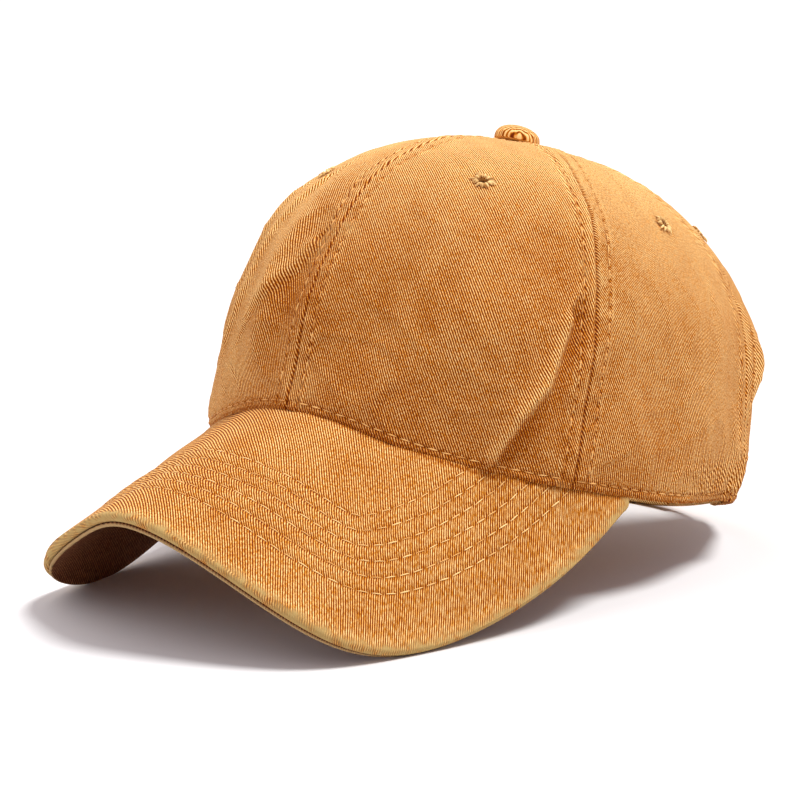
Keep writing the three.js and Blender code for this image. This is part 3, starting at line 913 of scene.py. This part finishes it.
for place, turn_degrees in eyelet_turns.items():
    turn = np.array([radians(turn_degrees)])
    fall = eyelet_angle / rim_angle(turn)
    points, normals = on_crown(turn, fall, soft_relief(turn, fall))
    point, normal = points[0], normals[0]
    seed = 40 + turn_degrees % 97
    rows = [
        eyelet_round(point, normal, 1, seed),
        eyelet_round(point - normal * cloth, normal, -1, seed + 1),
    ]
    ring = thread_mesh("eyelet_" + place + "_stitches", rows, eyelet_thread_width, seed + 2)
    bpy.ops.object.select_all(action="DESELECT")
    bpy.ops.mesh.primitive_torus_add(
        major_radius=padding_radius * mm, minor_radius=padding_thickness * mm,
        major_segments=24, minor_segments=10,
    )
    padding = bpy.context.object
    tilt = Vector(in_metres(point + normal) - in_metres(point)).to_track_quat("Z", "Y").to_matrix()
    lower = Vector(in_metres(point - normal * cloth / 2))
    taller = Matrix.Scale(padding_height, 4, (0, 0, 1))
    padding.data.transform(Matrix.Translation(lower) @ tilt.to_4x4() @ taller)
    mark(padding.data, "wear", 0)
    bpy.ops.object.select_all(action="DESELECT")
    padding.select_set(True)
    ring.select_set(True)
    bpy.context.view_layer.objects.active = ring
    bpy.ops.object.join()
    ring.data.materials.clear()
    ring.data.materials.append(eyelet_thread)
    bpy.ops.object.shade_smooth()
    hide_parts("eyelet_" + place)
    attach(ring, "root")

# Top button
# A stamped metal shell covered in the crown's twill, clenched through the meeting point of the
# panels by a shank and an inner rivet. Its cloth is drawn round the edge in small pleats.
button_radius, button_height = 8.0, 6.2
button_over, button_under = 0.86, 0.14
button_tilt, button_turn = 0.14, radians(-40)
rivet_radius, rivet_thickness = 5.0, 0.9
button_twill = cotton_twill("button_twill", ochres, -40, 0.8, bump=0.15)


def top_button():
    bpy.ops.object.select_all(action="DESELECT")
    bpy.ops.mesh.primitive_uv_sphere_add(segments=96, ring_count=40, radius=1)
    button = bpy.context.object
    button.name = "top_button_cloth"
    places = corner_places(button)
    around = np.arctan2(places[:, 1], places[:, 0])
    level = np.hypot(places[:, 0], places[:, 1])
    over = places[:, 2] > 0
    pleats = np.abs(np.cos(9 * around + 0.6 * np.sin(3 * around)))
    edge = smooth_step(level, 0.55, 1)
    radius = button_radius * (level - 0.02 * pleats * edge)
    rise = np.where(over, button_over, -button_under) * button_height
    height = np.abs(places[:, 2]) ** 0.75 * rise + button_under * button_height
    height = height + gap - 0.16 * pleats * edge * over
    towards = radius * np.cos(around + button_turn)
    height = height + button_tilt * (button_radius - towards) / 2
    points = np.stack([radius * np.cos(around), radius * np.sin(around), crown_height + height], -1)
    # Painted shade in the pleats round the edge, which is itself paler.
    wear = 0.72 + 0.10 * smooth_step(level, 0.8, 1) - 0.12 * pleats * edge
    lay_out(button, points, points[:, :2], wear)
    button.data.materials.append(button_twill)
    bpy.ops.object.shade_smooth()
    return button


button = top_button()
bpy.ops.object.select_all(action="DESELECT")
bpy.ops.mesh.primitive_cylinder_add(vertices=40, radius=1, depth=1)
rivet = bpy.context.object
rivet.name = "button_rivet"
open_for_editing(rivet)
bpy.ops.mesh.bevel(offset=0.12, segments=3)
bpy.ops.object.mode_set(mode="OBJECT")
places = corner_places(rivet)
rivet_under = crown_height - cloth - 0.75
points = places * (rivet_radius, rivet_radius, rivet_thickness) + (0, 0, rivet_under - 0.2)
rivet.data.vertices.foreach_set("co", in_metres(points).ravel())
brass = (0.45, 0.30, 0.14, 1)
rivet_metal, _, _ = new_material("rivet_metal", Base_Color=brass, Metallic=0.8, Roughness=0.4)
rivet.data.materials.append(rivet_metal)
activate(rivet)
bpy.ops.object.shade_smooth_by_angle(angle=radians(40))
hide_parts("top_button")
for piece in (button, rivet):
    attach(piece, "root")

# Sweatband
# A band of cotton tape inside the rim, folded along its lower edge and caught by the rim's row of
# stitches. It leans away from the crown's cloth towards the top.
band_length, band_height, band_thickness = 470.0, 32.0, 1.2
band_lean, band_end_turn = 3.6, 144.0
tape_dyes = ((0.24, 0.08, 0.014), (0.42, 0.18, 0.04), (0.62, 0.36, 0.13), (0.5, 0.38, 0.2))
band_twill = cotton_twill("sweatband_twill", tape_dyes, 35)


def fall_over_rim(turn, height):
    out, _ = meridian(turn, rim_angle(turn))
    return 1 - height / out / rim_angle(turn)


def tape_grain(turn, height):
    return np.stack([turn * widest_radius(turn), height * np.ones_like(turn)], -1)


band, across, up = flat_sheet("sweatband", 320, 26)
turn = np.radians(-band_end_turn + 2 * band_end_turn * across)
fall = fall_over_rim(turn, band_height * up)
plain = crown_place(turn, fall)
depth = cloth + gap + band_lean * up + 0.25 * soft_noise(plain, 9, 51) * up
wear = 0.4 + 0.08 * soft_noise(plain, 10, 53) + 0.3 * hump((up - 1) * band_height, 1)
lay_out(band, crown_place(turn, fall, -depth), tape_grain(turn, band_height * up), wear)
thicken(band, band_thickness)
band.data.materials.append(band_twill)
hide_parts("sweatband")
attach(band, "root")

turn = np.radians(np.linspace(-band_end_turn + 1, band_end_turn - 1, 600))
band_rows = []
for height in (rim_stitch_row, band_height - 2.5):
    fall = fall_over_rim(turn, height)
    depth = cloth + gap + band_lean * height / band_height + band_thickness
    points, normals = on_crown(turn, fall, -depth)
    band_rows.append(evenly(points, -normals, stitch_step))
sewn("sweatband_stitching", band_rows, thread_width, 55, crown_thread)

# Peak
# A stiff curved board covered above and below in the same twill. The upper cloth is rolled over the
# board's edge to a seam with the under cloth, and six rows of stitches follow the edge.
peak_reach = 63.3
peak_drop = 52.6
peak_turn = radians(77.3)
peak_tip = 0.985
peak_top_thickness, peak_under_thickness = 2.6, 1.2
layer_gap, edge_seam = 0.45, 0.12
peak_length_round = 262.0
peak_stitch_rows = [18.0, 23.1, 28.2, 33.3, 38.4, 43.5]
peak_stitch_step, peak_thread_width = 4.8, 0.42
stitch_dent = 0.34
rolled_edge = 2.2
peak_tuck = 1.2
peak_rows = {
    "across": [0, 0.319, 0.748, 0.842, 1.009, 1],
    "forward": [1.025, 0.95, 0.846, 0.591, 0.236, 0],
    "drop": [0.462, 0.633, 0.975, 1.113, 0.571, 0],
}


def peak_place(across, out):
    """Places on the peak's upper face, from right to left and from the rim out to the edge."""
    side = across * 2 - 1
    share = np.abs(side) * peak_tip
    turn = side * peak_tip * peak_turn
    ones = np.ones_like(turn)
    inner = crown_place(turn, ones, -peak_tuck)
    inner[..., 2] += gap
    end = crown_place(np.array([peak_turn]), np.ones(1))[0]
    forward = table_curve(peak_rows["forward"], share, 1, True)
    edge = np.stack([
        np.sign(side) * end[0] * table_curve(peak_rows["across"], share, -1, True),
        end[1] + (-crown_front - peak_reach - end[1]) * forward,
        end[2] - peak_drop * table_curve(peak_rows["drop"], share, 1, True),
    ], -1)
    return inner + (edge - inner) * out[..., None]


def peak_directions(across, out):
    """Straight out of the peak's upper face, and along the face towards its edge."""
    step = 0.004
    a = np.clip(across, step, 1 - step)
    sideways = peak_place(a + step, out) - peak_place(a - step, out)
    outwards = peak_place(a, out + step) - peak_place(a, out - step)
    return unit(np.cross(outwards, sideways)), unit(outwards)


edge_shares = np.linspace(0, 1, 1500)
edge_places = peak_place(edge_shares, np.ones_like(edge_shares))
edge_finder = KDTree(len(edge_places))
for number, place in enumerate(edge_places):
    edge_finder.insert(place, number)
edge_finder.balance()


def from_edge(points):
    return np.array([edge_finder.find(point)[2] for point in points.reshape(-1, 3)])


def peak_relief(points):
    """Grooves under the rows of stitches, with the cloth a little puffed between them."""
    distance = from_edge(points)
    rise = 0.25 * soft_noise(points, 16, 61)
    for row in peak_stitch_rows:
        rise -= stitch_dent * hump(distance - row, 0.65)
    between = (distance > peak_stitch_rows[0]) & (distance < peak_stitch_rows[-1])
    phase = (distance - peak_stitch_rows[0]) / (peak_stitch_rows[1] - peak_stitch_rows[0])
    rise += 0.12 * np.sin(pi * (phase % 1)) * between
    return rise, distance


def peak_layer(name, columns, face_rows, depth, thickness, relief):
    """A closed layer of the peak: its upper face, its rounded outer edge and its lower face."""
    edge_rows, back_rows = 10, 8
    rows = face_rows + edge_rows + back_rows
    layer, across, up = flat_sheet(name, columns, rows)
    across = 0.4 * across + 0.6 * (0.5 - 0.5 * np.cos(pi * across))
    row = np.round(up * rows)
    half = thickness / 2
    zeros = np.zeros_like(across)
    ray = np.linalg.norm(peak_place(across, zeros + 1) - peak_place(across, zeros), axis=-1)
    last = 1 - half / np.maximum(ray, 4 * half)
    face = np.clip((row - 1) / (face_rows - 1), 0, 1)
    back = np.clip((rows - 1 - row) / (back_rows - 1), 0, 1)
    on_face = row <= face_rows
    on_back = row >= face_rows + edge_rows
    out = last * np.where(on_face, face, np.where(on_back, back, 1))
    angle = pi * np.clip((row - face_rows) / edge_rows, 0, 1)
    ends = np.minimum(across, 1 - across) * peak_length_round / half
    thick = np.sqrt(1 - (1 - np.clip(ends, 0, 1)) ** 2)
    thick = thick * ((row > 0) & (row < rows))
    normal, outwards = peak_directions(across, out)
    base = peak_place(across, out)
    from_rim = np.where(on_face, out * ray, 100)
    upper_rise, distance = peak_relief(base)
    rise = -depth - half + half * thick * np.cos(angle) + upper_rise * relief * on_face * thick
    points = base + normal * rise[:, None] + outwards * (half * thick * np.sin(angle))[:, None]
    grain = np.stack([base[:, 0], base[:, 1] + rise], -1)
    return layer, points, grain, distance, from_rim, np.sin(angle)


def finish_layer(layer, points, grain, wear, rub, material):
    lay_out(layer, points, grain, wear, rub)
    open_for_editing(layer)
    bpy.ops.mesh.remove_doubles(threshold=0.01 * mm)
    bpy.ops.mesh.normals_make_consistent(inside=False)
    bpy.ops.object.mode_set(mode="OBJECT")
    press_flat(layer)
    bpy.ops.object.shade_smooth_by_angle(angle=radians(50))
    layer.data.materials.append(material)
    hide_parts(layer.name.replace("_cloth", ""))
    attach(layer, "root")


peak_dyes = (ochres[0], (0.66, 0.245, 0.010), (0.97, 0.73, 0.33), (0.44, 0.30, 0.11))
peak_twill = cotton_twill("peak_twill", peak_dyes, 36, 0.72, bump=0.3)
under_dyes = ((0.07, 0.014, 0.005), (0.15, 0.038, 0.011), (0.40, 0.18, 0.07), (0.46, 0.31, 0.14))
under_twill = cotton_twill("peak_under_twill", under_dyes, 30, sheen=0)

layer, points, grain, distance, from_rim, edge = peak_layer(
    "peak_top", 270, 140, 0, peak_top_thickness + layer_gap - edge_seam, 1
)
wear = 0.30 + 0.025 * soft_noise(points, 20, 63) + 0.03 * soft_noise(points, 6, 65)
# Painted shade in the grooves under the rows of stitches.
for row in peak_stitch_rows:
    wear -= 0.45 * hump(distance - row, 0.45)
# Painted shade along the peak's inner edge, under the crown's rim.
wear -= 0.6 * hump(from_rim - 1.3, 0.8)
rolled = 1 - smooth_step(distance + 0.5 * soft_noise(points, 2, 66), 0.5, 2 * rolled_edge)
wear += 0.15 * hump(distance - rolled_edge - 1.5, 1.5)
wear -= (0.12 + 0.15 * soft_noise(points, 1.2, 69)) * rolled + 0.1 * edge
worn_off = np.clip(0.78 + 0.3 * soft_noise(points, 1.6, 67) + 0.1 * soft_noise(points, 6, 68), 0, 1)
rub = np.maximum(rolled, edge) * worn_off
finish_layer(layer, points, grain, wear, rub, peak_twill)

under_depth = peak_top_thickness + layer_gap
layer, points, grain, _, _, edge = peak_layer(
    "peak_underside", 180, 50, under_depth, peak_under_thickness, 0
)
wear = 0.42 + 0.06 * soft_noise(points, 12, 69)
finish_layer(layer, points, grain, wear, 0.9 * edge, under_twill)


def peak_row(distance):
    """A row of stitches so far in from the peak's edge, ending at the rim."""
    shares = np.linspace(0.01, 0.99, 420)
    outs = np.linspace(0.012, 1, 90)
    grid_a, grid_o = np.meshgrid(shares, outs, indexing="ij")
    away = from_edge(peak_place(grid_a, grid_o)).reshape(grid_a.shape)
    reached = away.max(axis=1) > distance
    out = np.array([np.interp(distance, line[::-1], outs[::-1]) for line in away[reached]])
    across = shares[reached]
    points = peak_place(across, out)
    normals, _ = peak_directions(across, out)
    rise, _ = peak_relief(points)
    return evenly(points + normals * rise[:, None], normals, peak_stitch_step)


peak_thread = sewing_thread("peak_thread", (0.66, 0.32, 0.08), (0.93, 0.66, 0.28))
stitched = [peak_row(distance) for distance in peak_stitch_rows]
sewn("peak_stitching", stitched, peak_thread_width, 71, peak_thread)

# Opening binding
# A tape of the crown's twill folded over the raw edge of the arched opening and sewn down with one
# row of stitches that shows on both faces.
binding_proud = 0.4
binding_length, binding_flat_width = 330.0, 19.0
tape = 0.5

strip, across, around = flat_sheet("opening_binding", 300, 36)
share = np.abs(2 * across - 1)
half_fold = cloth / 2 + binding_proud
flat_part = 0.42
outer_run = np.clip(around / flat_part, 0, 1)
inner_run = np.clip((1 - around) / flat_part, 0, 1)
on_outer, on_inner = around < flat_part, around > 1 - flat_part
lip = np.clip((around - flat_part) / (1 - 2 * flat_part), 0, 1) * pi
margin = np.where(on_outer, binding_width + (half_fold - binding_width) * outer_run, half_fold)
margin = np.where(on_inner, binding_width + (half_fold - binding_width) * inner_run, margin)
margin = margin - half_fold * np.sin(lip)
depth = cloth / 2 - half_fold * np.cos(lip)
edge_fall, edge_across = opening_edge(share, margin)
turn = turn_across(edge_across, edge_fall) * np.where(across < 0.5, -1, 1)
side_turn = np.where(turn < 0, turn + tau, turn)
plain = crown_place(side_turn, edge_fall)
length_along = (across - 0.5) * binding_length
pucker = 0.16 * np.cos(length_along * tau / 6 + 2 * soft_noise(plain, 12, 81))
rise = soft_relief(side_turn, edge_fall) - depth + pucker * on_outer * np.sin(pi * outer_run)
points = crown_place(side_turn, edge_fall, rise)
wear = 0.45 + 0.06 * soft_noise(plain, 8, 83) + 0.4 * np.sin(lip)
wear += 0.25 * hump(margin - binding_width, 0.6)
lay_out(strip, points, np.stack([length_along, margin], -1), wear)
thicken(strip, tape)
binding_twill = cotton_twill("binding_twill", ochres, 50, 0.6, bump=0.25)
strip.data.materials.append(binding_twill)
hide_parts("opening_binding")
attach(strip, "root")


def binding_row(row_margin, depth, side):
    share = np.linspace(-1, 1, 500)
    fall, edge = opening_edge(np.abs(share), row_margin * np.ones_like(share))
    turn = turn_across(edge, fall)
    turn = np.where(share < 0, tau - turn, turn)
    rise = soft_relief(turn, fall) - depth
    points, normals = on_crown(turn, fall, rise)
    return evenly(points, side * normals, stitch_step)


binding_stitch_row = binding_width - 1.6
binding_rows = [
    binding_row(binding_stitch_row, -binding_proud, 1),
    binding_row(binding_stitch_row, cloth + binding_proud, -1),
]
sewn("binding_stitching", binding_rows, thread_width, 85, crown_thread)

# Straps
# Two plain straps of doubled twill sewn inside the opening's feet, the left one lapped outside the
# right one and held by hook-and-loop tape between them. Both are stitched round their edge.
strap_length, strap_height, strap_thickness = 77.0, 22.0, 1.6
strap_end_turn, strap_lap = 148.0, 12.0
strap_depth = cloth + binding_proud + gap
strap_stitch_row = 2.2
strap_ends = (0.977, 0.80)
strap_twill = cotton_twill("strap_twill", ochres, 60)


def strap_place(side, share, up):
    """Turn, fall and depth of a strap's outer face."""
    turn = np.radians(strap_end_turn + (180 + strap_lap - strap_end_turn) * share)
    step_in = (strap_thickness + gap) * smooth_step(share, 0.1, 0.5) * (side < 0)
    fall = fall_over_rim(turn, strap_height * up)
    return side * turn, fall, strap_depth + step_in


def strap(name, side):
    sheet, across, up = flat_sheet(name, 120, 40)
    share = across if side > 0 else 1 - across
    half_height = strap_height / 2
    corner = 5.0
    length = 100.0
    to_end = (1 - share) * length
    rounding = corner - np.sqrt(np.maximum(corner**2 - (corner - to_end) ** 2, 0))
    inset = np.where(to_end < corner, rounding, 0)
    up = 0.5 + (up - 0.5) * (1 - inset / half_height)
    turn, fall, depth = strap_place(side, share, up)
    plain = crown_place(turn, fall)
    edge = np.minimum(np.minimum(up, 1 - up) * strap_height, to_end)
    rise = -depth + 0.2 * soft_noise(plain, 12, 91) * smooth_step(edge, 0, 4)
    rise -= 0.25 * hump(edge - strap_stitch_row, 0.5) + 0.35 * hump(edge, 0.6)
    wear = 0.44 + 0.06 * soft_noise(plain, 9, 93) + 0.3 * hump(edge, 0.8)
    lay_out(sheet, crown_place(turn, fall, rise), tape_grain(turn, strap_height * up), wear)
    thicken(sheet, strap_thickness)
    sheet.data.materials.append(strap_twill)
    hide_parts(name)
    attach(sheet, "root")
    stitched = []
    inner = np.linspace(0.02, 0.975, 200)
    for height in (strap_stitch_row, strap_height - strap_stitch_row):
        turn, fall, depth = strap_place(side, inner, height / strap_height * np.ones_like(inner))
        stitched.append(evenly(*on_crown(turn, fall, -depth), stitch_step))
    heights = np.linspace(strap_stitch_row, strap_height - strap_stitch_row, 40) / strap_height
    for share_across in strap_ends:
        turn, fall, depth = strap_place(side, share_across * np.ones_like(heights), heights)
        stitched.append(evenly(*on_crown(turn, fall, -depth), stitch_step))
    sewn(name + "_stitching", stitched, thread_width, 95, crown_thread)


strap("strap_left", 1)
strap("strap_right", -1)

# Table and studio light
# A pale table in a white studio. A broad lamp high over the back of the cap's left side lights its
# top and throws the soft shadow forwards and to the right side of the cap, and a wider and weaker
# one fills from there. The studio itself gives a faint rosy light.
bpy.ops.object.select_all(action="DESELECT")
bpy.ops.mesh.primitive_plane_add(size=60)
table = bpy.context.object
table.name = "table"
pale_gray = (0.74, 0.74, 0.74, 1)
table_paint, _, _ = new_material(
    "table_paint", Base_Color=pale_gray, Roughness=1, Specular_IOR_Level=0
)
table.data.materials.append(table_paint)

studio = bpy.data.worlds.new("studio")
studio.use_nodes = True
studio_tree = studio.node_tree
seen = studio_tree.nodes["Background"]
seen.inputs["Color"].default_value = (1, 1, 1, 1)
seen.inputs["Strength"].default_value = 1.1
dome = add_node(studio_tree, "ShaderNodeBackground")
dome.inputs["Color"].default_value = (1.0, 0.86, 0.91, 1)
dome.inputs["Strength"].default_value = 0.55
rays = add_node(studio_tree, "ShaderNodeLightPath")
both = add_node(studio_tree, "ShaderNodeMixShader")
studio_tree.links.new(rays.outputs["Is Camera Ray"], both.inputs[0])
studio_tree.links.new(dome.outputs[0], both.inputs[1])
studio_tree.links.new(seen.outputs[0], both.inputs[2])
studio_tree.links.new(both.outputs[0], studio_tree.nodes["World Output"].inputs[0])
bpy.context.scene.world = studio

suns = [
    ("main_sun", (0.45, 0.28, 1.20), 3.3, 20),
    ("far_sun", (-1.00, -0.30, 0.80), 1.4, 100),
]
for name, towards, power, width in suns:
    sun_data = bpy.data.lights.new(name, "SUN")
    sun_data.energy = power
    sun_data.angle = radians(width)
    sun = bpy.data.objects.new(name, sun_data)
    sun.rotation_euler = Vector(towards).to_track_quat("Z", "Y").to_euler()
    sun.location = Vector(towards)
    bpy.context.collection.objects.link(sun)
bpy.context.scene.view_settings.view_transform = "Standard"

# Camera
# The cap is seen from its front left, a little above the table, with a short telephoto lens that is
# level across its picture.
camera_data = bpy.data.cameras.new("camera")
camera_data.sensor_width = 36
camera_data.lens = 100.4
camera_data.clip_start = 0.05
camera = bpy.data.objects.new("camera", camera_data)
camera.location = (0.46456, -0.56205, 0.18148)
camera_turn, camera_rise = radians(40.11), radians(9.78)
camera.rotation_euler = Euler((pi / 2 - camera_rise, 0, camera_turn))
bpy.context.collection.objects.link(camera)
bpy.context.scene.camera = camera
